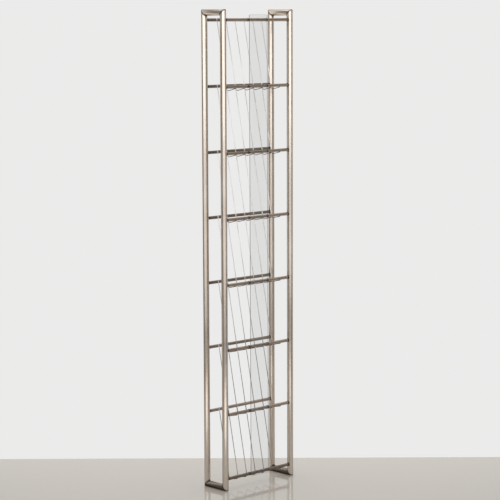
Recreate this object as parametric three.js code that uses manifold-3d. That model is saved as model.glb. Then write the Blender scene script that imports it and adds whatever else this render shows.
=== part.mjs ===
// A tall, narrow, free-standing rack for showing magazines. Two side frames of mitred round tube are tied
// by level bars, and each tier is a row of bent wires that make a J-shaped cradle behind a front bar.
// Millimetres, +Z up, the front faces -Y, and the origin is on the floor in the middle of the rack.

import * as THREE from "three";
import { mergeVertices } from "three/addons/utils/BufferGeometryUtils.js";
import Module from "manifold-3d";

// Levels of bars, counted from the top. A tier is the space between two levels.
const TIERS = 7;
const TIER_PITCH = 230; // one level of bars to the next
const BOTTOM_BAR_HEIGHT = 41; // floor to the axis of the lowest bar
const TOP_BAR_DROP = 36; // top of the side frames to the axis of the top bars

// Side frames.
const UPRIGHT_SPACING = 322; // between the upright axes, across the front
const FRAME_DEPTH = 95; // between the upright axes of one side frame, front to rear
const TUBE_DIAMETER = 21.3;
const TUBE_WALL = 1.5;

// Bars and wires.
const BAR_DIAMETER = 11;
const WIRE_DIAMETER = 2.4;
const WIRES_PER_TIER = 6;
const CRADLE_SETBACK = 38; // front bar's axis back to the corner of the wire's bend
const CRADLE_DROP = 16; // front bar's axis down to the same corner
const WIRE_BEND_RADIUS = 9; // to the wire's centre line
const WIRE_HEAD = 4; // wire left standing past its weld on the rear bar
const WIRE_END_INSET = 1; // front of the front bar back to the wire's cut end

// Clear strip down the middle of the front.
const STRIP_WIDTH = 87;
const STRIP_THICKNESS = 2.5;
const STRIP_CORNER_RADIUS = 4;
const STRIP_ABOVE_TOP_BAR = 19; // axis of the top bar to the strip's upper edge
const STRIP_BELOW_BOTTOM_BAR = 8; // axis of the bottom bar to the strip's lower edge

// Pieces that are welded together, or that rest on each other, keep this gap. The wires of the last tier are
// one solid with the bottom bar instead, and sink into it by the depth of the weld.
const JOINT_GAP = 0.3;
const WELD_SINK = 0.4;
const TIERS_WITH_SEPARATE_WIRES = 6;

// Facets of the round sections, and steps in the bend of a wire.
const TUBE_SIDES = 16;
const BAR_SIDES = 12;
const WIRE_SIDES = 8;
const BEND_STEPS = 6;
const CORNER_STEPS = 4;

// Sizes that follow from the ones above.
const TUBE_RADIUS = TUBE_DIAMETER / 2;
const BAR_RADIUS = BAR_DIAMETER / 2;
const WIRE_RADIUS = WIRE_DIAMETER / 2;
const HEIGHT = BOTTOM_BAR_HEIGHT + TIERS * TIER_PITCH + TOP_BAR_DROP;
const FRONT = -FRAME_DEPTH / 2;
const REAR = FRAME_DEPTH / 2;
const WIRE_SPACING = (UPRIGHT_SPACING - TUBE_DIAMETER) / (WIRES_PER_TIER + 1);
const levelHeight = (level) => BOTTOM_BAR_HEIGHT + (TIERS - level) * TIER_PITCH;

const satinMetal = new THREE.MeshStandardMaterial({ color: 0xbfb0a0, roughness: 0.32, metalness: 1 });
const brightWire = new THREE.MeshStandardMaterial({ color: 0xc9c2b8, roughness: 0.25, metalness: 1 });
const clearAcrylic = new THREE.MeshStandardMaterial({
  color: 0xe4e2df,
  roughness: 0.08,
  metalness: 0,
  transparent: true,
  opacity: 0.25,
});

const wasm = await Module();
wasm.setup();

// A three.js geometry as a solid for joining and cutting, and back again.
function toSolid(geometry) {
  const bare = geometry.clone().deleteAttribute("normal").deleteAttribute("uv");
  const merged = mergeVertices(bare);
  return new wasm.Manifold(
    new wasm.Mesh({
      numProp: 3,
      vertProperties: merged.getAttribute("position").array,
      triVerts: new Uint32Array(merged.index.array),
    }),
  );
}

function toGeometry(solid) {
  const mesh = solid.getMesh();
  const geometry = new THREE.BufferGeometry();
  geometry.setAttribute("position", new THREE.BufferAttribute(mesh.vertProperties, 3));
  geometry.setIndex(new THREE.BufferAttribute(mesh.triVerts, 1));
  geometry.computeVertexNormals();
  return geometry;
}

// The distance from the axis to a corner of a round section whose flats touch the given radius.
const cornerRadius = (radius, sides) => radius / Math.cos(Math.PI / sides);

// The corners of that section, with flats that face along both axes.
function roundOutline(radius, sides) {
  const corner = cornerRadius(radius, sides);
  return Array.from({ length: sides }, (_, i) => {
    const angle = ((i + 0.5) * 2 * Math.PI) / sides;
    return new THREE.Vector2(corner * Math.cos(angle), corner * Math.sin(angle));
  });
}

const roundShape = (radius, sides) => new THREE.Shape(roundOutline(radius, sides));

// A tube along +Z between two corners of a frame, its ends cut at 45 degrees. +X faces into the frame, so
// the wall on the -X side is the long one. The length is measured between the axes of its neighbours.
function mitredTube(length) {
  const section = roundShape(TUBE_RADIUS, TUBE_SIDES);
  section.holes.push(new THREE.Path(roundOutline(TUBE_RADIUS - TUBE_WALL, TUBE_SIDES)));
  const tube = new THREE.ExtrudeGeometry(section, { depth: length, bevelEnabled: false });
  const halfGap = (JOINT_GAP / 2) * Math.SQRT2;
  const corners = tube.getAttribute("position");
  for (let i = 0; i < corners.count; i++) {
    const cut = corners.getX(i) + halfGap;
    corners.setZ(i, corners.getZ(i) > length / 2 ? length - cut : cut);
  }
  tube.computeVertexNormals();
  return tube;
}

// A bar along X between two uprights, both ends coped to fit round them. Its axis is the X axis.
function copedBar() {
  const bar = new THREE.ExtrudeGeometry(roundShape(BAR_RADIUS, BAR_SIDES), {
    depth: UPRIGHT_SPACING,
    bevelEnabled: false,
  });
  bar.rotateY(Math.PI / 2).translate(-UPRIGHT_SPACING / 2, 0, 0);
  const cutterHeight = 2 * TUBE_DIAMETER + 2 * BAR_DIAMETER;
  const cutter = new THREE.ExtrudeGeometry(roundShape(TUBE_RADIUS + JOINT_GAP, TUBE_SIDES), {
    depth: cutterHeight,
    bevelEnabled: false,
  });
  const uprightAt = (side) =>
    toSolid(cutter.clone().translate((side * UPRIGHT_SPACING) / 2, 0, -cutterHeight / 2));
  return toSolid(bar).subtract(uprightAt(-1)).subtract(uprightAt(1));
}

// A path that is followed through a few chosen stations, so that straight runs take a single step.
class StationPath extends THREE.Curve {
  constructor(stations) {
    super();
    this.stations = stations;
  }
  get steps() {
    return this.stations.length - 1;
  }
  getPointAt(u, target = new THREE.Vector3()) {
    return target.copy(this.stations[Math.round(u * this.steps)].point);
  }
  getTangentAt(u, target = new THREE.Vector3()) {
    return target.copy(this.stations[Math.round(u * this.steps)].tangent);
  }
}

// Directions and points in the plane of one wire, where an angle is counted from +Y towards +Z.
const heading = (angle) => new THREE.Vector3(0, Math.cos(angle), Math.sin(angle));
const along = (start, angle, distance) => heading(angle).multiplyScalar(distance).add(start);

// The line from a point that touches the left side of a round bar: how it heads, and how far the touch is.
function touch(from, bar, radius) {
  const reach = new THREE.Vector3().subVectors(bar, from);
  const distance = reach.length();
  return {
    angle: Math.atan2(reach.z, reach.y) + Math.asin(radius / distance),
    length: Math.sqrt(distance ** 2 - radius ** 2),
  };
}

// One cradle wire, drawn about the level of the front bar that it comes up under. From its head on the
// front of the rear bar one level up, it runs down to the bend and rises under the front bar.
function cradleWire(frontBarGap) {
  const contact = cornerRadius(BAR_RADIUS, BAR_SIDES) + cornerRadius(WIRE_RADIUS, WIRE_SIDES);
  const rearBar = new THREE.Vector3(0, REAR, TIER_PITCH);
  const frontBar = new THREE.Vector3(0, FRONT, 0);
  const corner = new THREE.Vector3(0, FRONT + CRADLE_SETBACK, -CRADLE_DROP);
  const back = touch(corner, rearBar, contact + JOINT_GAP);
  const rise = touch(corner, frontBar, contact + frontBarGap);

  const halfTurn = (rise.angle - back.angle) / 2;
  const bendStart = WIRE_BEND_RADIUS / Math.tan(halfTurn);
  const bendCentre = along(corner, back.angle + halfTurn, WIRE_BEND_RADIUS / Math.sin(halfTurn));
  const endY = FRONT - BAR_RADIUS + WIRE_END_INSET;
  const riseLength = (endY - corner.y) / Math.cos(rise.angle);

  const downward = back.angle + Math.PI;
  const stations = [
    { point: along(corner, back.angle, back.length + WIRE_HEAD), tangent: heading(downward) },
    { point: along(corner, back.angle, bendStart), tangent: heading(downward) },
  ];
  for (let i = 1; i <= BEND_STEPS; i++) {
    const angle = THREE.MathUtils.lerp(downward, rise.angle, i / BEND_STEPS);
    stations.push({
      point: along(bendCentre, angle + Math.PI / 2, WIRE_BEND_RADIUS),
      tangent: heading(angle),
    });
  }
  stations.push({ point: along(corner, rise.angle, riseLength), tangent: heading(rise.angle) });

  const path = new StationPath(stations);
  return new THREE.ExtrudeGeometry(roundShape(WIRE_RADIUS, WIRE_SIDES), {
    steps: path.steps,
    extrudePath: path,
    bevelEnabled: false,
  });
}

// The clear strip, a thin sheet with rounded corners that lies against the front of the bars.
function frontStrip() {
  const low = levelHeight(TIERS) - STRIP_BELOW_BOTTOM_BAR;
  const high = levelHeight(0) + STRIP_ABOVE_TOP_BAR;
  const half = STRIP_WIDTH / 2;
  const r = STRIP_CORNER_RADIUS;
  const sheet = new THREE.Shape();
  sheet.absarc(half - r, low + r, r, -Math.PI / 2, 0);
  sheet.absarc(half - r, high - r, r, 0, Math.PI / 2);
  sheet.absarc(r - half, high - r, r, Math.PI / 2, Math.PI);
  sheet.absarc(r - half, low + r, r, Math.PI, 1.5 * Math.PI);
  const strip = new THREE.ExtrudeGeometry(sheet, {
    depth: STRIP_THICKNESS,
    curveSegments: CORNER_STEPS,
    bevelEnabled: false,
  });
  return strip.rotateX(Math.PI / 2).translate(0, FRONT - BAR_RADIUS - JOINT_GAP, 0);
}

function piece(name, geometry, material) {
  const mesh = new THREE.Mesh(geometry, material);
  mesh.name = name;
  return mesh;
}

// One tube of a side frame, from one frame corner to the next, with its short side facing inward.
function frameTube(name, start, end, inward) {
  const run = new THREE.Vector3().subVectors(end, start);
  const tube = piece(name, mitredTube(run.length()), satinMetal);
  const axis = run.normalize();
  const across = new THREE.Vector3().crossVectors(axis, inward);
  tube.quaternion.setFromRotationMatrix(new THREE.Matrix4().makeBasis(inward, across, axis));
  tube.position.copy(start);
  return tube;
}

// A side frame: two uprights, a top tube and a bottom tube that lies on the floor.
function sideFrame(side) {
  const frame = new THREE.Group();
  const low = TUBE_RADIUS;
  const high = HEIGHT - TUBE_RADIUS;
  const at = (y, z) => new THREE.Vector3(0, y, z);
  frame.add(
    frameTube(`${side}_front_upright`, at(FRONT, low), at(FRONT, high), at(1, 0)),
    frameTube(`${side}_rear_upright`, at(REAR, low), at(REAR, high), at(-1, 0)),
    frameTube(`${side}_top_tube`, at(FRONT, high), at(REAR, high), at(0, -1)),
    frameTube(`${side}_bottom_tube`, at(FRONT, low), at(REAR, low), at(0, 1)),
  );
  return frame;
}

const rack = new THREE.Group();

for (const [side, direction] of [["left", -1], ["right", 1]]) {
  const frame = sideFrame(side);
  frame.position.x = (direction * UPRIGHT_SPACING) / 2;
  rack.add(frame);
}

const bar = copedBar();
const wire = cradleWire(JOINT_GAP);
const wireOffsets = Array.from(
  { length: WIRES_PER_TIER },
  (_, i) => (i - (WIRES_PER_TIER - 1) / 2) * WIRE_SPACING,
);

// The bottom bar and the wires of the last tier, joined at their welds.
function barWithWires() {
  const welded = cradleWire(-WELD_SINK).translate(0, -FRONT, 0);
  return wireOffsets.reduce((solid, x) => solid.add(toSolid(welded.clone().translate(x, 0, 0))), bar);
}

for (let level = 0; level <= TIERS; level++) {
  const shelf = new THREE.Group();
  shelf.position.z = levelHeight(level);
  rack.add(shelf);

  const wiresAreSeparate = level <= TIERS_WITH_SEPARATE_WIRES;
  const front = toGeometry(wiresAreSeparate ? bar : barWithWires());
  const frontBar = piece(`front_bar_${level + 1}`, front, satinMetal);
  frontBar.position.y = FRONT;
  shelf.add(frontBar);

  if (level < TIERS) {
    const rearBar = piece(`rear_bar_${level + 1}`, toGeometry(bar), satinMetal);
    rearBar.position.y = REAR;
    shelf.add(rearBar);
  }
  if (level > 0 && wiresAreSeparate) {
    wireOffsets.forEach((x, i) => {
      const one = piece(`tier_${level}_wire_${i + 1}`, wire.clone(), brightWire);
      one.position.x = x;
      shelf.add(one);
    });
  }
}

rack.add(piece("clear_front_strip", frontStrip(), clearAcrylic));

export default rack;
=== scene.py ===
# %% [markdown]
# # A wire magazine rack, dressed over its CAD frame
#
# The rack is welded from three kinds of round stock: 21 mm tube for the two side frames, 11 mm
# bar for the rungs and 2.4 mm wire for the cradles that hold the magazines. A clear strip runs
# down the front. The CAD frame already has every size and place, but its round sections are plain
# polygons and its joints are bare. Here each piece is modelled again, round and with its welds,
# exactly where the CAD piece is.

# %% Load the frame and keep its box
import math

import bmesh
import bpy
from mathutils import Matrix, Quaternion, Vector


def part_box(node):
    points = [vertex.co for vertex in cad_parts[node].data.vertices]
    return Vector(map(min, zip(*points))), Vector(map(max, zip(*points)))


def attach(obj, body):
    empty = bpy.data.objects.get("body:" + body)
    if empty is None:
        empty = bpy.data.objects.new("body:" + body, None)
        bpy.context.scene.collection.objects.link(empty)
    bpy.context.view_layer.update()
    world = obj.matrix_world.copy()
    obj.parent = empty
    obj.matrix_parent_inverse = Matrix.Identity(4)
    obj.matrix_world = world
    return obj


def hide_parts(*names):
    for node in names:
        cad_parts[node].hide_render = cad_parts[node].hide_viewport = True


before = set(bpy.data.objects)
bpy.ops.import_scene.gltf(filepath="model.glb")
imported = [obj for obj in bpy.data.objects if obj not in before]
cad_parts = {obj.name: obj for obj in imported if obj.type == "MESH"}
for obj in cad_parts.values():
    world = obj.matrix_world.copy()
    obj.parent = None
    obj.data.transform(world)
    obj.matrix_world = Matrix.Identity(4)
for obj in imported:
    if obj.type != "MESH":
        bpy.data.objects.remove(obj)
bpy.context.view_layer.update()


def rounded(values, digits=4):
    return [round(value, digits) for value in values]


# %% [markdown]
# ## Measuring the frame
#
# A new piece has to sit where its CAD node is, so the sizes could be typed in again here, but
# then two files would have to agree. Reading them from the boxes of the nodes is safer: if the
# rack is ever made wider, the pieces below follow it. Lengths are in metres, the front faces -Y,
# and level 0 is the top pair of bars.

# %% Sizes read from the CAD nodes
TIERS = 7
WIRES_PER_TIER = 6
MM = 1000


def middle(node):
    low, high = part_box(node)
    return (low + high) / 2


def extent(node):
    low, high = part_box(node)
    return high - low


rack_height = extent("left_front_upright").z
half_width = middle("right_front_upright").x
half_depth = middle("right_rear_upright").y
tube_radius = extent("left_front_upright").x / 2
bar_radius = extent("front_bar_1").z / 2
wire_radius = extent("tier_1_wire_1").x / 2
diameters = [2 * radius * MM for radius in (tube_radius, bar_radius, wire_radius)]
print("tube, bar and wire:", rounded(diameters, 1), "mm")
print("upright axes:", rounded([2 * half_width * MM, 2 * half_depth * MM], 1), "mm apart")

# %% Where the bars and wires repeat
top_level = middle("front_bar_1").z
tier_pitch = top_level - middle("front_bar_2").z
wire_offsets = [middle(f"tier_1_wire_{i + 1}").x for i in range(WIRES_PER_TIER)]


def level_height(level):
    return top_level - level * tier_pitch


print("tier pitch:", round(tier_pitch * MM, 1), "mm")
print("wires at", rounded([offset * MM for offset in wire_offsets], 1), "mm")

# %% [markdown]
# ## Working by operators
#
# Every piece starts as a primitive and is shaped in edit mode, as it would be by hand. The meshes
# could be written as lists of points instead, but then each change of shape means new sums, while
# an operator says what it does. Operators act on whatever is selected, and loading the frame
# leaves its nodes selected, so nothing is safe to run before everything has been let go.

# %% Choosing, starting and editing a piece
def let_go():
    bpy.ops.object.select_all(action="DESELECT")


def choose(*pieces):
    """Selects these pieces alone and makes the first of them active."""
    let_go()
    for piece in pieces:
        piece.select_set(True)
    bpy.context.view_layer.objects.active = pieces[0]


def settle():
    """Puts the place, turn and size of what is selected into its mesh."""
    bpy.ops.object.transform_apply(location=True, rotation=True, scale=True)


def start(add, stretch=(1, 1, 1), **settings):
    """Adds a primitive with nothing else selected, stretches it and settles it."""
    let_go()
    add(**settings)
    bpy.context.object.scale = stretch
    settle()
    return bpy.context.object


def select_all():
    bpy.ops.mesh.select_all(action="SELECT")


def edit():
    bpy.ops.object.mode_set(mode="EDIT")
    select_all()


def done():
    bpy.ops.object.mode_set(mode="OBJECT")


let_go()
print("nothing is selected:", not bpy.context.selected_objects)

# %% [markdown]
# ## The side frames
#
# Each side frame is four tubes, cut at 45 degrees, welded at the corners and ground flush, so all
# that is left of a joint is a fine line. A tube could be a cylinder with a hole, but the mitre is
# easier on a bare ring of edges: extrude the ring to a pipe, cut both ends with bisect, and only
# then let Solidify give it a wall. A narrow bevel on the cut edges leaves the shallow groove that
# shows where two tubes meet.

# %% Pulling a ring of edges, cleaning a mesh, and applying modifiers
MERGE_DISTANCE = 1e-6
BEVEL_SEGMENTS = 2


def extrude(by):
    bpy.ops.mesh.extrude_region_move(TRANSFORM_OT_translate={"value": tuple(by)})


def face_outwards():
    select_all()
    bpy.ops.mesh.remove_doubles(threshold=MERGE_DISTANCE)
    bpy.ops.mesh.normals_make_consistent(inside=False)


def modify(piece, kind, **settings):
    """Adds a modifier to the piece, sets it and applies it."""
    bpy.context.view_layer.objects.active = piece
    bpy.ops.object.modifier_add(type=kind)
    modifier = piece.modifiers[-1]
    for name, value in settings.items():
        setattr(modifier, name, value)
    bpy.ops.object.modifier_apply(modifier=modifier.name)


def soften(piece, width, angle):
    """Bevels the edges that turn by more than the angle, which is in degrees."""
    limit = {"limit_method": "ANGLE", "angle_limit": math.radians(angle)}
    modify(piece, "BEVEL", width=width, segments=BEVEL_SEGMENTS, **limit)


def smooth(piece, angle):
    choose(piece)
    bpy.ops.object.shade_smooth_by_angle(angle=math.radians(angle))


def rename(piece, name):
    piece.name = piece.data.name = name


print("doubles closer than", MERGE_DISTANCE * MM, "mm are merged")

# %% One mitred tube
TUBE_SIDES = 48
TUBE_WALL = 0.0015
TUBE_SMOOTH = 35
SEAM_HALF_WIDTH = 0.0001
SEAM_BEVEL = 0.0003
UP, BACK = Vector((0, 0, 1)), Vector((0, 1, 0))


def mitre_facing(corner, stands):
    """The direction in which the cut at a corner of the side frame faces."""
    outer_y = math.copysign(1, corner.y)
    outer_z = math.copysign(1, corner.z - rack_height / 2)
    return Vector((0, -outer_y, outer_z) if stands else (0, outer_y, -outer_z)).normalized()


def mitred_tube(node):
    low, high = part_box(node)
    centre = (low + high) / 2
    stands = high.z - low.z > high.y - low.y
    run = UP if stands else BACK
    reach = (high - low).dot(run)
    tube = start(
        bpy.ops.mesh.primitive_circle_add,
        vertices=TUBE_SIDES,
        radius=tube_radius,
        location=centre - run * reach / 2,
        rotation=(0 if stands else -math.pi / 2, 0, 0),
    )
    edit()
    extrude(run * reach)
    for end in (-1, 1):
        corner = centre + run * end * (reach / 2 - tube_radius)
        facing = mitre_facing(corner, stands)
        at = corner - facing * SEAM_HALF_WIDTH
        select_all()
        bpy.ops.mesh.bisect(plane_co=at, plane_no=facing, clear_outer=True)
    face_outwards()
    done()
    modify(tube, "SOLIDIFY", thickness=TUBE_WALL, offset=-1, use_even_offset=True)
    soften(tube, SEAM_BEVEL, TUBE_SMOOTH)
    smooth(tube, TUBE_SMOOTH)
    rename(tube, f"tube_{node}")
    return tube


print("a tube has", TUBE_SIDES, "sides and a wall of", TUBE_WALL * MM, "mm")

# %% The eight tubes
tubes = {}
for side in ("left", "right"):
    for place in ("front_upright", "rear_upright", "top_tube", "bottom_tube"):
        node = f"{side}_{place}"
        tubes[node] = mitred_tube(node)
print("tubes:", len(tubes), "faces:", [len(tube.data.polygons) for tube in tubes.values()])

# %% [markdown]
# ## The bars and their welds
#
# A bar is solid, and its ends are coped: hollowed to fit round the upright. The saddle could be
# shaped point by point, but a Boolean with a cylinder of the tube's size cuts exactly that. The
# bead of weld round each end is a torus. Real weld metal is laid in small overlapping puddles, so
# every second ring of the torus is drawn in a little, and a Simple Deform bend wraps the flat
# torus round the tube. The bar is finished once, and the fifteen bars are copies of it.

# %% A coped bar
BAR_SIDES = 32
CUTTER_SIDES = 96
CUTTER_DEPTH = 6 * tube_radius
FACING_X = (0, math.pi / 2, 0)


def fill_ends():
    select_all()
    bpy.ops.mesh.fill_holes(sides=0)


def erase(*pieces):
    choose(*pieces)
    bpy.ops.object.delete()


def coped_bar():
    bar = start(
        bpy.ops.mesh.primitive_circle_add,
        vertices=BAR_SIDES,
        radius=bar_radius,
        location=(-half_width, 0, 0),
        rotation=FACING_X,
    )
    edit()
    extrude((2 * half_width, 0, 0))
    fill_ends()
    face_outwards()
    done()
    for end in (-1, 1):
        cutter = start(
            bpy.ops.mesh.primitive_cylinder_add,
            vertices=CUTTER_SIDES,
            radius=tube_radius,
            depth=CUTTER_DEPTH,
            location=(end * half_width, 0, 0),
        )
        modify(bar, "BOOLEAN", operation="DIFFERENCE", object=cutter, solver="EXACT")
        erase(cutter)
    return bar


bar = coped_bar()
bar_end = max(vertex.co.x for vertex in bar.data.vertices)
print("the coped bar reaches", round(bar_end * MM, 2), "mm from the middle")

# %% Picking parts of a mesh by a test, and joining pieces
SELECT_MODES = {"verts": "VERT", "edges": "EDGE", "faces": "FACE"}


def pick(kind, test):
    """Selects the verts, edges or faces of the mesh in edit mode that pass the test."""
    bpy.ops.mesh.select_all(action="DESELECT")
    bpy.ops.mesh.select_mode(type=SELECT_MODES[kind])
    mesh = bmesh.from_edit_mesh(bpy.context.object.data)
    for part in getattr(mesh, kind):
        if test(part):
            part.select_set(True)
    mesh.select_flush_mode()
    bmesh.update_edit_mesh(bpy.context.object.data)


def join(*pieces):
    choose(*pieces)
    bpy.ops.object.join()
    return pieces[0]


print("a test can pick", ", ".join(SELECT_MODES))

# %% A bead of weld for each end
BEAD_RADIUS = 0.0011
BEAD_STANDOFF = BEAD_RADIUS / 4
BEAD_RINGS, BEAD_SIDES = 44, 10
RIPPLE = 0.00016
WELD_SMOOTH = 40


def weld_bead(end):
    ring_radius = bar_radius + BEAD_STANDOFF
    bead = start(
        bpy.ops.mesh.primitive_torus_add,
        major_segments=BEAD_RINGS,
        minor_segments=BEAD_SIDES,
        major_radius=ring_radius,
        minor_radius=BEAD_RADIUS,
        rotation=(math.pi / 2, 0, 0),
    )
    edit()
    pick("verts", lambda vertex: (vertex.index // BEAD_SIDES) % 2 == 0)
    bpy.ops.transform.shrink_fatten(value=-RIPPLE)
    done()
    wrapped = 2 * (ring_radius + BEAD_RADIUS) / (tube_radius + BEAD_STANDOFF)
    modify(bead, "SIMPLE_DEFORM", deform_method="BEND", deform_axis="Z", angle=wrapped)
    bead.rotation_euler = (0, 0, -end * math.pi / 2)
    bead.location = (end * (half_width - tube_radius - BEAD_STANDOFF), 0, 0)
    choose(bead)
    settle()
    edit()
    face_outwards()
    done()
    return bead


join(bar, weld_bead(-1), weld_bead(1))
smooth(bar, WELD_SMOOTH)
print("bar with its welds:", len(bar.data.polygons), "faces")

# %% The eight front bars and seven rear bars
def copy(piece, name, offset=(0, 0, 0)):
    """A copy with a mesh of its own, moved in the mesh so that its object stays at the origin."""
    choose(piece)
    bpy.ops.object.duplicate(linked=False)
    made = bpy.context.object
    rename(made, name)
    made.location = offset
    settle()
    return made


bars = {}


def place_bar(row, level, depth):
    node = f"{row}_bar_{level + 1}"
    bars[node] = copy(bar, f"round_{node}", (0, depth, level_height(level)))


for level in range(TIERS + 1):
    place_bar("front", level, -half_depth)
    if level < TIERS:
        place_bar("rear", level, half_depth)
erase(bar)
print("bars:", len(bars))

# %% [markdown]
# ## The cradle wires
#
# Each wire is welded to the front of a rear bar, slopes down and forward for one tier, bends
# through about a right angle and rises to end under the front bar below, so a magazine stands in
# the crook. A bevelled curve could draw that, but the bend of a real wire is a true arc between
# two straight runs. Extrude, spin and extrude again makes just that, starting from a small ring
# of edges at the head.

# %% The two straight runs, drawn about the level of the front bar
CRADLE_SETBACK = 0.038
CRADLE_DROP = 0.016
WELD_SINK = 0.0002


def heading(angle):
    return Vector((0, math.cos(angle), math.sin(angle)))


def touching(point, bar_axis, distance):
    """Angle and length of the line from a point that passes a bar's axis at that distance."""
    reach = bar_axis - point
    return (
        math.atan2(reach.z, reach.y) + math.asin(distance / reach.length),
        math.sqrt(reach.length**2 - distance**2),
    )


wire_contact = bar_radius + wire_radius - WELD_SINK
rear_axis = Vector((0, half_depth, tier_pitch))
front_axis = Vector((0, -half_depth, 0))
crook = Vector((0, -half_depth + CRADLE_SETBACK, -CRADLE_DROP))
back_angle, back_length = touching(crook, rear_axis, wire_contact)
rise_angle, rise_to_bar = touching(crook, front_axis, wire_contact)
print(f"back leg {math.degrees(back_angle):.1f} deg, rise {math.degrees(rise_angle):.1f} deg")

# %% The bend between them, and how far each end runs on
BEND_RADIUS = 0.009
WIRE_HEAD = 0.004
END_INSET = 0.001
half_turn = (rise_angle - back_angle) / 2
bend_run = BEND_RADIUS / math.tan(half_turn)
bend_centre = crook + heading(back_angle + half_turn) * BEND_RADIUS / math.sin(half_turn)
head_length = back_length + WIRE_HEAD
rise_length = (-half_depth - bar_radius + END_INSET - crook.y) / math.cos(rise_angle)
print("legs:", rounded([head_length * MM, rise_length * MM], 1), "mm, measured to the crook")

# %% One wire
WIRE_SIDES = 16
BEND_STEPS = 14
END_BEVEL = wire_radius * 0.3
SHARP = math.radians(60)


def break_sharp_edges(width):
    pick("edges", lambda edge: edge.calc_face_angle(0) > SHARP)
    bpy.ops.mesh.bevel(offset=width, segments=BEVEL_SEGMENTS, affect="EDGES")


def cradle_wire():
    wire = start(
        bpy.ops.mesh.primitive_circle_add,
        vertices=WIRE_SIDES,
        radius=wire_radius,
        location=crook + heading(back_angle) * head_length,
        rotation=(back_angle - math.pi / 2, 0, 0),
    )
    edit()
    extrude(-heading(back_angle) * (head_length - bend_run))
    turn = math.pi - 2 * half_turn
    bpy.ops.mesh.spin(steps=BEND_STEPS, angle=turn, center=bend_centre, axis=(1, 0, 0))
    extrude(heading(rise_angle) * (rise_length - bend_run))
    fill_ends()
    face_outwards()
    break_sharp_edges(END_BEVEL)
    done()
    return wire


wire = cradle_wire()
for name, extreme in (("lowest", min), ("highest", max)):
    corner = [extreme(vertex.co[axis] for vertex in wire.data.vertices) * MM for axis in range(3)]
    print("wire's", name, "corner:", rounded(corner, 1), "mm")

# %% The two spots of weld that hold it
SPOT_SIDES, SPOT_RINGS = 14, 8
SPOT_SHAPE = (1.5, 1.35, 0.75)
SPOT_OFFSET = 0.95


def weld_spot(at_angle, distance, bar_axis):
    on_wire = crook + heading(at_angle) * distance
    towards_bar = (bar_axis - on_wire).normalized()
    return start(
        bpy.ops.mesh.primitive_uv_sphere_add,
        segments=SPOT_SIDES,
        ring_count=SPOT_RINGS,
        radius=wire_radius,
        location=on_wire + towards_bar * wire_radius * SPOT_OFFSET,
        rotation=(math.atan2(-towards_bar.y, towards_bar.z), 0, 0),
        stretch=SPOT_SHAPE,
    )


rear_spot = weld_spot(back_angle, back_length, rear_axis)
front_spot = weld_spot(rise_angle, rise_to_bar, front_axis)
join(wire, rear_spot, front_spot)
smooth(wire, WELD_SMOOTH)
print("wire with its welds:", len(wire.data.polygons), "faces")

# %% Six wires in each of the seven tiers
wires = {}
for tier in range(1, TIERS + 1):
    for number, offset in enumerate(wire_offsets, start=1):
        node = f"tier_{tier}_wire_{number}"
        wires[node] = copy(wire, f"round_{node}", (offset, 0, level_height(tier)))
erase(wire)
print("wires:", len(wires))

# %% [markdown]
# ## The clear strip
#
# A narrow sheet of clear plastic stands against the front bars. A plane with Solidify could make
# it, but a box is already closed, and the corners can be picked by the direction of their edges.
# They are rounded first, and then all the sharp edges are broken a little, as on a sawn and
# polished sheet, so that they catch a line of light.

# %% The strip
STRIP_CORNER = 0.004
CORNER_SEGMENTS = 6
STRIP_EDGE = 0.0004
STRIP_SMOOTH = 25
strip_low, strip_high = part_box("clear_front_strip")
strip_size = strip_high - strip_low
strip = start(
    bpy.ops.mesh.primitive_cube_add,
    size=1,
    location=(strip_low + strip_high) / 2,
    stretch=strip_size,
)
edit()
pick("edges", lambda edge: abs(edge.verts[0].co.y - edge.verts[1].co.y) > strip_size.y / 2)
bpy.ops.mesh.bevel(offset=STRIP_CORNER, segments=CORNER_SEGMENTS, affect="EDGES")
break_sharp_edges(STRIP_EDGE)
face_outwards()
done()
smooth(strip, STRIP_SMOOTH)
rename(strip, "clear_strip_sheet")
print("strip:", rounded(strip_size * MM, 1), "mm")

# %% [markdown]
# ## The strip's clips
#
# Small dark clips hold the strip's long edges to every front bar. Each is a band round the bar
# with a square nose that laps over the edge of the sheet. One bent profile could give both, but
# two simple forms are easier to size: the band is a ring of edges, extruded and thickened, and
# the nose is a block whose front is drawn sideways over the sheet with one extrusion.

# %% The band round the bar, beside the strip's right edge
CLIP_SIDES = 32
CLIP_WIDTH = 0.0035
CLIP_WALL = 0.0006
CLIP_SLACK = 0.0002
CLIP_SMOOTH = 40
BAND_CLEARANCE = 0.00005
BAND_BEVEL = 0.00015


def clip_band(edge_x):
    band = start(
        bpy.ops.mesh.primitive_circle_add,
        vertices=CLIP_SIDES,
        radius=bar_radius + CLIP_WALL,
        location=(edge_x + CLIP_SLACK, 0, 0),
        rotation=FACING_X,
    )
    edit()
    extrude((CLIP_WIDTH, 0, 0))
    face_outwards()
    done()
    modify(band, "SOLIDIFY", thickness=CLIP_WALL - BAND_CLEARANCE, offset=-1)
    soften(band, BAND_BEVEL, CLIP_SMOOTH)
    return band


band = clip_band(strip_high.x)
print("band:", len(band.data.polygons), "faces")

# %% The nose that laps over the sheet
CLIP_HEIGHT = 0.0044
CLIP_LAP = 0.0014
NOSE_BEVEL = 0.0003
NEARLY = 0.9


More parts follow.
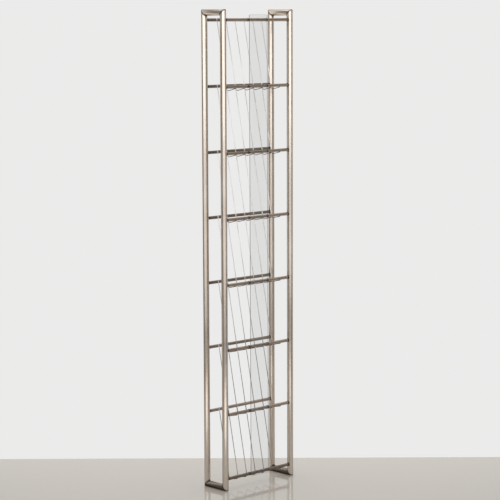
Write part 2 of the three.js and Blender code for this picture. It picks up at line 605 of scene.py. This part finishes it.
def clip_nose(edge_x, strip_front):
    """The sheet ends at edge_x, and strip_front is its front face, counted from the bar's axis."""
    clear_of_sheet = strip_front - CLIP_SLACK
    back, front = -bar_radius - CLIP_WALL / 2, clear_of_sheet - CLIP_WALL
    nose = start(
        bpy.ops.mesh.primitive_cube_add,
        size=1,
        location=(edge_x + CLIP_SLACK + CLIP_WIDTH / 2, (back + front) / 2, 0),
        stretch=(CLIP_WIDTH, back - front, CLIP_HEIGHT),
    )

    def beside_the_sheet(face):
        return face.normal.x < -NEARLY and face.calc_center_median().y < clear_of_sheet

    edit()
    bpy.ops.mesh.bisect(plane_co=(0, clear_of_sheet, 0), plane_no=(0, 1, 0))
    pick("faces", beside_the_sheet)
    extrude((-CLIP_LAP - CLIP_SLACK, 0, 0))
    face_outwards()
    break_sharp_edges(NOSE_BEVEL)
    done()
    return nose


right_clip = join(band, clip_nose(strip_high.x, strip_low.y + half_depth))
smooth(right_clip, CLIP_SMOOTH)
print("clip:", len(right_clip.data.polygons), "faces")

# %% A mirrored one for the left edge, and a pair on every front bar
left_clip = copy(right_clip, "left_clip")
left_clip.scale = (-1, 1, 1)
settle()
edit()
face_outwards()
done()
clips = []
for level in range(TIERS + 1):
    on_bar = (0, -half_depth, level_height(level))
    for side, clip in (("left", left_clip), ("right", right_clip)):
        clips.append(copy(clip, f"strip_clip_{side}_{level + 1}", on_bar))
erase(left_clip, right_clip)
print("clips:", len(clips))

# %% [markdown]
# ## Writing finishes as expressions
#
# A shader is a net of nodes, and even a short sum takes several of them. They could be added and
# linked one by one, but that hides the sum. Wrapping a socket in a small class with + - * and abs
# lets the sums below read as sums, while each operator quietly adds its Math node. Every other
# node comes from one method, which is told the node's type, its settings and what feeds its
# sockets.

# %% A wrapped socket
class Flow:
    """What comes out of one socket of a net of nodes."""

    def __init__(self, net, socket):
        self.net, self.socket = net, socket

    def _math(self, operation, first, second=0.0):
        return self.net.node("ShaderNodeMath", {"operation": operation}, {0: first, 1: second})

    def __add__(self, other):
        return self._math("ADD", self, other)

    def __sub__(self, other):
        return self._math("SUBTRACT", self, other)

    def __rsub__(self, other):
        return self._math("SUBTRACT", other, self)

    def __mul__(self, other):
        return self._math("MULTIPLY", self, other)

    def __abs__(self):
        return self._math("ABSOLUTE", self)

    __radd__, __rmul__ = __add__, __mul__


print("a flow can be added, subtracted, multiplied and made positive")

# %% A net of nodes that grows one node at a time
class Net:
    def __init__(self, tree):
        self.nodes, self.links = tree.nodes, tree.links

    def feed(self, node, sockets):
        for key, value in sockets.items():
            if isinstance(value, Flow):
                self.links.new(value.socket, node.inputs[key])
            else:
                node.inputs[key].default_value = value

    def node(self, kind, settings=None, sockets=None, output=0):
        node = self.nodes.new(kind)
        for key, value in (settings or {}).items():
            setattr(node, key, value)
        self.feed(node, sockets or {})
        return Flow(self, node.outputs[output])


print("materials before any finish:", len(bpy.data.materials))

# %% A finish: the net of one material, with the few recipes used here
class Finish(Net):
    def __init__(self, name, constants=None):
        self.material = bpy.data.materials.new(name)
        self.material.use_nodes = True
        super().__init__(self.material.node_tree)
        self.shader = self.nodes["Principled BSDF"]
        self.shade(constants or {})

    def shade(self, sockets):
        self.feed(self.shader, sockets)
        return self.material

    def place(self):
        """The point on the piece, whole and as x, y and z."""
        point = self.node("ShaderNodeTexCoord", output="Object")
        split = self.node("ShaderNodeSeparateXYZ", sockets={0: point}).socket.node
        return point, [Flow(self, part) for part in split.outputs]

    def noise(self, point, scale, detail=3.0, stretch=(1, 1, 1)):
        moved = self.node("ShaderNodeMapping", sockets={"Vector": point, "Scale": stretch})
        sockets = {"Vector": moved, "Scale": scale, "Detail": detail}
        return self.node("ShaderNodeTexNoise", sockets=sockets)

    def ramp(self, value, low, high):
        """0 at low, 1 at high, and smooth between them."""
        sockets = {"Value": value, "From Min": low, "From Max": high}
        return self.node("ShaderNodeMapRange", {"interpolation_type": "SMOOTHSTEP"}, sockets)

    def mix(self, share, first, second):
        """A colour that goes from the first to the second as share goes from 0 to 1."""
        sockets = {0: share, 6: first, 7: second}
        return self.node("ShaderNodeMix", {"data_type": "RGBA"}, sockets, output=2)

    def bump(self, height, strength, distance):
        sockets = {"Height": height, "Strength": strength, "Distance": distance}
        return self.node("ShaderNodeBump", sockets=sockets)


def paint(pieces, material):
    for piece in pieces:
        piece.data.materials.clear()
        piece.data.materials.append(material)
    print(material.name, "on", len(pieces), "pieces")


print("a finish can", [name for name in vars(Finish) if not name.startswith("_")])

# %% [markdown]
# ## Satin metal
#
# Tube, bar and wire share one warm, satin, slightly brownish metal. Up close it has fine brushed
# lines along its length, broad faint clouds where hands and polish have dulled it, and small dark
# freckles. Heat has blackened it next to the welds. Light and shade are painted into its colour
# too: the top tubes are a paler, lit copy of the metal, the uprights are painted paler towards the
# floor, and painted shade darkens the feet, the rear and lowest bars and the wires low down and in
# their crooks. A painted picture could show all that, but it would have to be fitted to every
# piece. Noise on object coordinates needs no fitting and stays sharp close up. The lines are noise
# stretched along the piece, so each direction of run gets its own finish, and each says for
# itself where it is black, where it is worn and where light and shade are painted.

# %% The shared recipe
CLEAN = (0.66, 0.575, 0.495, 1)
DULL = (0.64, 0.595, 0.545, 1)
# Nearly black, for weld heat and for painted shade on the feet.
SCORCHED_AND_SHADED = (0.07, 0.055, 0.042, 1)
FRECKLE = (0.22, 0.17, 0.125, 1)
EDGE_TINT = (0.2, 0.155, 0.12, 1)
CLOUD_SCALE, CLOUD_RANGE, CLOUD_SHARE = 7.0, (0.35, 0.75), 0.5
FRECKLE_SCALE, FRECKLE_RANGE, FRECKLE_SHARE = 420.0, (0.68, 0.76), 0.5
BLACKENING_LEAST, BLACKENING_BY_CLOUD = 0.6, 0.5
SATIN, LINE_ROUGHNESS, CLOUD_ROUGHNESS, FRECKLE_ROUGHNESS = 0.30, 0.16, 0.12, 0.15
GRAIN_STRENGTH, GRAIN_HEIGHT = 0.12, 0.0001
NOISE_MIDDLE = 0.5


def satin_metal(name, stretch, dark, painted_tone, clean=CLEAN, worn_and_painted=DULL):
    """The masks take the finish, x, y and z to the share that is black, by weld heat and painted
    shade, and to the share of painted light and shade that turns the clean colour to the dull one.
    """
    finish = Finish(name, {"Metallic": 1.0, "Specular Tint": EDGE_TINT})
    point, place = finish.place()
    lines = finish.noise(point, 1.0, detail=4.0, stretch=stretch)
    clouds = finish.noise(point, CLOUD_SCALE)
    freckles = finish.ramp(finish.noise(point, FRECKLE_SCALE, detail=2.0), *FRECKLE_RANGE)
    # Painted light and shade: this share turns the clean colour into the second one, making the
    # uprights paler near the floor and the feet, the rear and lowest bars and the low wires
    # darker.
    painted_share = painted_tone(finish, *place)
    cloudy = finish.ramp(clouds, *CLOUD_RANGE) * CLOUD_SHARE
    # Weld heat, and painted shade on the lower half of the feet, blacken the metal by this share.
    scorch_and_shade = dark(finish, *place) * (BLACKENING_LEAST + clouds * BLACKENING_BY_CLOUD)
    colour = finish.mix(painted_share + cloudy * (1 - painted_share), clean, worn_and_painted)
    colour = finish.mix(scorch_and_shade, colour, SCORCHED_AND_SHADED)
    colour = finish.mix(freckles * FRECKLE_SHARE, colour, FRECKLE)
    by_line = (lines - NOISE_MIDDLE) * LINE_ROUGHNESS
    by_cloud = (clouds - NOISE_MIDDLE) * CLOUD_ROUGHNESS
    roughness = SATIN + (by_line + by_cloud) + freckles * FRECKLE_ROUGHNESS
    grain = finish.bump(lines, GRAIN_STRENGTH, GRAIN_HEIGHT)
    return finish.shade({"Base Color": colour, "Roughness": roughness, "Normal": grain})


print("satin roughness:", SATIN, "and freckles of about", round(MM / FRECKLE_SCALE, 1), "mm")

# %% Marks at the mitres, painted shade on the feet and painted light near the floor
MITRE_LINE, MITRE_REACH = 0.0004, 0.006
UNDERSIDE_SHADE_FULL, UNDERSIDE_SHADE_TOP = tube_radius * 0.5, tube_radius * 1.7
FLOOR_TONE_TOP, FLOOR_TONE_FULL, FLOOR_TONE_SHARE = 0.4, 0.05, 0.9


def near_mitre(finish, x, y, z):
    from_middle = abs(z - rack_height / 2) - abs(y)
    from_plane = abs(from_middle - (rack_height / 2 - tube_radius - half_depth))
    return 1 - finish.ramp(from_plane, MITRE_LINE, MITRE_REACH)


# Painted shade makes the lower half of each foot nearly black; the mitres get their dark line too.
def mitre_and_underside_shade(finish, x, y, z):
    underside_shade = 1 - finish.ramp(z, UNDERSIDE_SHADE_FULL, UNDERSIDE_SHADE_TOP)
    return underside_shade + near_mitre(finish, x, y, z) * (1 - underside_shade)


# Painted light and shade near the floor: the uprights turn paler towards it and the feet darker.
def painted_near_floor(finish, x, y, z):
    return finish.ramp(z, FLOOR_TONE_TOP, FLOOR_TONE_FULL) * FLOOR_TONE_SHARE


# Below these heights the uprights carry painted light and the feet painted shade.
print("rubbed below", FLOOR_TONE_TOP * MM, "mm, scuffed below", round(UNDERSIDE_SHADE_TOP * MM, 1), "mm")

# %% The tubes, brushed along their run
ACROSS, ALONG = 2600.0, 30.0
BRUSHED_Z, BRUSHED_Y = (ACROSS, ACROSS, ALONG), (ACROSS, ALONG, ACROSS)
# Painted highlight: the top tubes are a paler, lit copy of the same metal.
TOP_TUBE_LIT = (0.90, 0.79, 0.685, 1)
# The uprights' and top tubes' second colour, for worn clouds and for painted light near the floor.
PALE_WORN_AND_LIT = (0.82, 0.765, 0.70, 1)
# The feet's second colour, for worn clouds and for the painted shade that darkens them.
FOOT_WORN_AND_SHADED = (0.34, 0.30, 0.26, 1)
tube_finishes = {
    "upright": ("satin_upright", BRUSHED_Z, near_mitre, painted_near_floor, CLEAN, PALE_WORN_AND_LIT),
    "top_tube": ("satin_top_tube", BRUSHED_Y, near_mitre, painted_near_floor, TOP_TUBE_LIT, PALE_WORN_AND_LIT),
    "bottom_tube": ("satin_foot", BRUSHED_Y, mitre_and_underside_shade, painted_near_floor, CLEAN, FOOT_WORN_AND_SHADED),
}
for place, recipe in tube_finishes.items():
    painted = [tube for node, tube in tubes.items() if node.endswith(place)]
    paint(painted, satin_metal(*recipe))

# %% The bars, scorched towards their welded ends, with painted shade on the rear and lowest bars
BRUSHED_X = (ALONG, ACROSS, ACROSS)
# The darker bar colour, for worn clouds and for painted shade.
BAR_CLEAN, BAR_WORN_SHADED = (0.60, 0.51, 0.43, 1), (0.31, 0.26, 0.217, 1)
SCORCH_START, SCORCH_FULL = 0.006, 0.002
REAR_SHADE_FADE = (0.1, 0.9)
LOWEST_SHADE_FADE = (tier_pitch, tier_pitch * 0.3)


def near_bar_end(finish, x, y, z):
    end = half_width - tube_radius
    return finish.ramp(abs(x), end - SCORCH_START, end - SCORCH_FULL)


# Painted shade: darker rear bars, except near the floor, and darker lowest bars.
def rear_and_low_shade(finish, x, y, z):
    rear = finish.ramp(y, 0.0, half_depth - bar_radius) * finish.ramp(z, *REAR_SHADE_FADE)
    lowest = finish.ramp(z, *LOWEST_SHADE_FADE)
    return rear + lowest * (1 - rear)


bar_metal = satin_metal("satin_bar", BRUSHED_X, near_bar_end, rear_and_low_shade, BAR_CLEAN, BAR_WORN_SHADED)
paint(bars.values(), bar_metal)

# %% The wires, drawn bright, with painted shade low down and in the crook, dark at the front weld
DRAWN_Z = (ACROSS, ACROSS, 60.0)
# The darker wire colour, for worn clouds and for painted shade.
WIRE_BRIGHT, WIRE_WORN_SHADED = (0.92, 0.90, 0.87, 1), (0.26, 0.245, 0.225, 1)
LOW_SHADE_FADE = (rack_height * 0.6, rack_height * 0.15)
CROOK_SHADE_FADE = (crook.y + 0.004, crook.y - 0.006)
WELD_START, WELD_FULL = 0.004, -0.001
HEAD_START, HEAD_FULL, HEAD_SHARE = -0.0045, -0.0025, 0.7


def near_front_weld(finish, x, y, z):
    back_of_bar = bar_radius - half_depth
    return finish.ramp(y, back_of_bar + WELD_START, back_of_bar + WELD_FULL)


def low_and_crook_shade(finish, x, y, z):
    """Painted shade low down and in the crook, and less of it at the head, on the rear bar."""
    low = finish.ramp(z, *LOW_SHADE_FADE)
    in_crook = finish.ramp(y, *CROOK_SHADE_FADE)
    front_of_bar = half_depth - bar_radius
    at_head = finish.ramp(y, front_of_bar + HEAD_START, front_of_bar + HEAD_FULL)
    return (low + in_crook * (1 - low)) * (1 - at_head * HEAD_SHARE)


wire_metal = satin_metal(
    "satin_wire", DRAWN_Z, near_front_weld, low_and_crook_shade, WIRE_BRIGHT, WIRE_WORN_SHADED
)
paint(wires.values(), wire_metal)

# %% [markdown]
# ## Clear plastic and dark clips
#
# The strip lets most light straight through and only greys it a little, while its sawn edges are
# dull and much denser. A glass shader would bend the light as a thick block does, and such a thin
# sheet hardly bends it at all. Alpha is simpler: it says how much of the surface is there, so it
# is low on the faces and high at the edges. The clips are thin spring steel with a dark coat that
# has rubbed through.

# %% Where the strip is sawn, hazed and scratched
PLASTIC_IOR = 1.49
EDGE_START, EDGE_FULL, END_SHARE = 0.0007, 0.0002, 0.5
HAZE_SCALE, HAZE_STRETCH = 14.0, (1, 1, 0.35)
SCRATCH_STRETCH, SCRATCH_RANGE = (900, 900, 25), (0.66, 0.72)
plastic = Finish("clear_plastic", {"IOR": PLASTIC_IOR})
point, (x, y, z) = plastic.place()


def sawn(from_middle, half):
    return plastic.ramp(abs(from_middle), half - EDGE_START, half - EDGE_FULL)


at_side = sawn(x, strip_size.x / 2)
at_end = sawn(z - (strip_high.z + strip_low.z) / 2, strip_size.z / 2)
edge = at_side + at_end * (1 - at_side) * END_SHARE
haze = plastic.noise(point, HAZE_SCALE, detail=5.0, stretch=HAZE_STRETCH)
streaks = plastic.noise(point, 1.0, detail=2.0, stretch=SCRATCH_STRETCH)
scratches = plastic.ramp(streaks, *SCRATCH_RANGE)
print("the sawn edge is", EDGE_START * MM, "mm deep")

# %% The strip's finish
FACE_GREY, EDGE_GREY = (0.15, 0.15, 0.147, 1), (0.12, 0.12, 0.116, 1)
POLISHED, HAZE_ROUGHNESS, SCRATCH_ROUGHNESS, EDGE_ROUGHNESS = 0.06, 0.05, 0.15, 0.3
CLEAREST, HAZE_ALPHA, SCRATCH_ALPHA, EDGE_ALPHA = 0.055, 0.05, 0.04, 0.75


def by_wear(least, hazed, scratched, sawn_off):
    return least + haze * hazed + scratches * scratched + edge * sawn_off


plastic.shade(
    {
        "Base Color": plastic.mix(edge, FACE_GREY, EDGE_GREY),
        "Roughness": by_wear(POLISHED, HAZE_ROUGHNESS, SCRATCH_ROUGHNESS, EDGE_ROUGHNESS),
        "Alpha": by_wear(CLEAREST, HAZE_ALPHA, SCRATCH_ALPHA, EDGE_ALPHA),
    }
)
paint([strip], plastic.material)

# %% The clips' finish
COAT, BARE, BARE_SHARE = (0.045, 0.036, 0.029, 1), (0.14, 0.115, 0.095, 1), 0.5
GRIT_SCALE, GRIT_STRENGTH, GRIT_HEIGHT = 1800.0, 0.15, 0.00005
BARE_SCALE, BARE_RANGE = 260.0, (0.62, 0.74)
COAT_ROUGHNESS, GRIT_ROUGHNESS, BARE_POLISH = 0.42, 0.15, 0.1
clip_coat = Finish("dark_clip_coat")
point, _ = clip_coat.place()
grit = clip_coat.noise(point, GRIT_SCALE)
rubbed = clip_coat.ramp(clip_coat.noise(point, BARE_SCALE, detail=4.0), *BARE_RANGE)
clip_coat.shade(
    {
        "Base Color": clip_coat.mix(rubbed * BARE_SHARE, COAT, BARE),
        "Roughness": COAT_ROUGHNESS + grit * GRIT_ROUGHNESS - rubbed * BARE_POLISH,
        "Normal": clip_coat.bump(grit, GRIT_STRENGTH, GRIT_HEIGHT),
    }
)
paint(clips, clip_coat.material)

# %% [markdown]
# ## Giving every piece its place in the part
#
# The rack is one welded body with no moving parts, so every piece rides on the same body. Each
# piece also hides the CAD node that it stands for. In the CAD frame the bottom bar and the lowest
# six wires are one solid, so seven pieces together stand for that node.

# %% Bodies, and the CAD nodes that the pieces hide
def belongs(piece, slot, *nodes):
    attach(piece, "root")
    if nodes:
        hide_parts(*nodes)


bottom_bar = f"front_bar_{TIERS + 1}"
for node, tube in tubes.items():
    belongs(tube, "frame_tube", node)
for node, piece in bars.items():
    belongs(piece, "bar", node)
for node, piece in wires.items():
    belongs(piece, "wire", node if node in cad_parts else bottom_bar)
belongs(strip, "clear_strip", "clear_front_strip")
for clip in clips:
    belongs(clip, "strip_clip")

# %% [markdown]
# ## A plain stage
#
# The rack stands on a plain, pale, lightly polished floor with a plain pale background. One bent
# sheet could be both, but a sheet that rises behind the rack would hide it from the back. So the
# floor simply ends where a wall would stand, and beyond it the camera sees the pale room. There
# is a wall all the same. It gives off an even light that the edges of the tubes and the floor
# reflect, but the camera doesn't see it, and it casts no shadow.

# %% The floor, cut off where the wall stands
VIEW_AZIMUTH = math.radians(43.541)
WALL_DISTANCE = 0.335
FLOOR_RADIUS = 1.3
FLOOR_SIDES = 96
FLOOR_COLOUR, FLOOR_GLOW = (0.5, 0.465, 0.42, 1), (1, 0.93, 0.84, 1)
FLOOR_GLOW_STRENGTH = 0.04
FLOOR_POLISH = {"Roughness": 0.09, "Specular IOR Level": 0.4}
away = Vector((math.sin(VIEW_AZIMUTH), math.cos(VIEW_AZIMUTH), 0))


def stage_sheet(name, add, **settings):
    sheet = start(add, **settings)
    rename(sheet, name)
    return sheet


disc = {"vertices": FLOOR_SIDES, "radius": FLOOR_RADIUS, "fill_type": "NGON"}
floor = stage_sheet("floor", bpy.ops.mesh.primitive_circle_add, **disc)
edit()
bpy.ops.mesh.bisect(plane_co=away * WALL_DISTANCE, plane_no=away, clear_outer=True)
done()
pale = Finish("pale_floor", {"Base Color": FLOOR_COLOUR, **FLOOR_POLISH})
pale.shade({"Emission Color": FLOOR_GLOW, "Emission Strength": FLOOR_GLOW_STRENGTH})
paint([floor], pale.material)

# %% The wall, square to the view
WALL_WIDTH = 3.2
WALL_HEIGHT = 2.1
WALL_GREY, WHITE = (0.2, 0.2, 0.2, 1), (1, 1, 1, 1)
WALL_ROUGHNESS = 0.9
WALL_GLOW_STRENGTH = 0.80
wall = stage_sheet(
    "wall",
    bpy.ops.mesh.primitive_plane_add,
    size=1,
    location=away * WALL_DISTANCE + UP * WALL_HEIGHT / 2,
    rotation=(math.pi / 2, 0, -VIEW_AZIMUTH),
    stretch=(WALL_WIDTH, WALL_HEIGHT, 1),
)
wall.visible_shadow = False
wall.visible_camera = False
white = Finish("white_wall", {"Base Color": WALL_GREY, "Roughness": WALL_ROUGHNESS})
white.shade({"Emission Color": WHITE, "Emission Strength": WALL_GLOW_STRENGTH})
paint([wall], white.material)

# %% [markdown]
# ## Soft light
#
# Satin tube shows mostly what it reflects. A wide soft light high in front of the rack makes the
# bright core down the middle of each upright, with dimmer ones below it, because a lit room is
# darker near its floor. Point lights would do the same with fewer settings, but their cores would
# be hard and thin. A light overhead picks out the tops of the bars, and a small one low in front
# reaches the feet. All of these would make bright pools on the polished floor, so light linking
# keeps them off the stage. The floor has one wide light of its own, for the soft shadows where
# the feet stand.

# %% A soft light, and who receives it
def light_link(name, state, *sheets):
    """A collection for light linking, which takes these sheets in or leaves them out."""
    receivers = bpy.data.collections.new(name)
    for sheet in sheets:
        receivers.objects.link(sheet)
    for entry in receivers.collection_objects:
        entry.light_linking.link_state = state
    return receivers


def soft_light(name, location, aim, size, power, receivers):
    bpy.ops.object.light_add(type="AREA", location=location)
    light = bpy.context.object
    light.name = name
    light.data.shape = "RECTANGLE"
    light.data.size, light.data.size_y = size
    light.data.energy = power
    light.rotation_mode = "QUATERNION"
    light.rotation_quaternion = (Vector(aim) - light.location).to_track_quat("-Z", "Y")
    light.visible_camera = False
    light.light_linking.receiver_collection = receivers
    return light


not_on_the_stage = light_link("not_on_the_stage", "EXCLUDE", floor, wall)
only_the_floor = light_link("only_the_floor", "INCLUDE", floor)

# %% The lights
FRONT_DISTANCE, FRONT_SHIFT = 2.4, 0.1
sideways = Vector((away.y, -away.x, 0))
in_front = -away * FRONT_DISTANCE + sideways * FRONT_SHIFT
rack_lights = {
    # place, height that it is aimed at, width and height, watts
    "key_light": (in_front + UP * 2.3, 1.6, (7.0, 1.8), 67),
    "middle_fill_light": (in_front + UP * 1.0, 1.0, (7.0, 0.7), 10.5),
    "low_fill_light": (in_front + UP * 0.35, 0.5, (7.0, 0.6), 13.5),
    "top_light": (UP * 2.7 - away * 0.2, 0, (2.2, 1.8), 12),
    "foot_light": (UP * 0.08 - away * 0.5 - sideways * 0.02, 0.12, (0.7, 0.3), 0.7),
}
for name, (place, aim_height, size, power) in rack_lights.items():
    soft_light(name, place, UP * aim_height, size, power, not_on_the_stage)
FLOOR_LIGHT_HEIGHT, FLOOR_LIGHT_SIZE, FLOOR_LIGHT_WATTS = 2.4, (3.0, 3.0), 41
overhead, under_rack = UP * FLOOR_LIGHT_HEIGHT, UP * 0
floor_light = soft_light(
    "floor_light", overhead, under_rack, FLOOR_LIGHT_SIZE, FLOOR_LIGHT_WATTS, only_the_floor
)
floor_light.visible_glossy = False
print("lights:", list(rack_lights), floor_light.name)

# %% The room, dim where the metal reflects it and pale where the camera sees it
ROOM, BACKDROP = (0.185, 0.175, 0.163, 1), (0.83, 0.83, 0.825, 1)
world = bpy.data.worlds.new("room")
bpy.context.scene.world = world
world.use_nodes = True
surroundings = Net(world.node_tree)
dim = surroundings.nodes["Background"]
surroundings.feed(dim, {"Color": ROOM})
bright = surroundings.node("ShaderNodeBackground", sockets={"Color": BACKDROP})
seen = surroundings.node("ShaderNodeLightPath", output="Is Camera Ray")
either = surroundings.node(
    "ShaderNodeMixShader", sockets={0: seen, 1: Flow(surroundings, dim.outputs[0]), 2: bright}
)
surroundings.feed(surroundings.nodes["World Output"], {"Surface": either})
print("world:", world.name, "with", len(surroundings.nodes), "nodes")

# %% [markdown]
# ## The viewpoint
#
# The picture was taken from the front left at eye level with a long lens, from far enough away
# that the bars hardly converge. The rack leans in the picture by a quarter of a degree. It could
# be tilted itself, but then it would lean in every other view too, so the camera is rolled
# instead.

# %% The camera
EYE_DISTANCE = 6.3586
EYE_HEIGHT = 1.6423
LENS = 129.76
ROLL = -0.004
AIM = Vector((0.00412, -0.00392, 0.8389))
FAR_CLIP = 100
eye = UP * EYE_HEIGHT - away * EYE_DISTANCE
bpy.ops.object.camera_add(location=eye)
camera = bpy.context.object
camera.data.lens = LENS
camera.data.clip_end = FAR_CLIP
camera.rotation_mode = "QUATERNION"
level_view = (AIM - eye).to_track_quat("-Z", "Y")
camera.rotation_quaternion = level_view @ Quaternion((0, 0, 1), ROLL)
bpy.context.scene.camera = camera
bpy.context.scene.view_settings.view_transform = "Standard"
print("camera at", rounded(eye, 3))

# %% [markdown]
# ## The size
#
# Dressing must not change the size, which the pieces take from the CAD boxes.
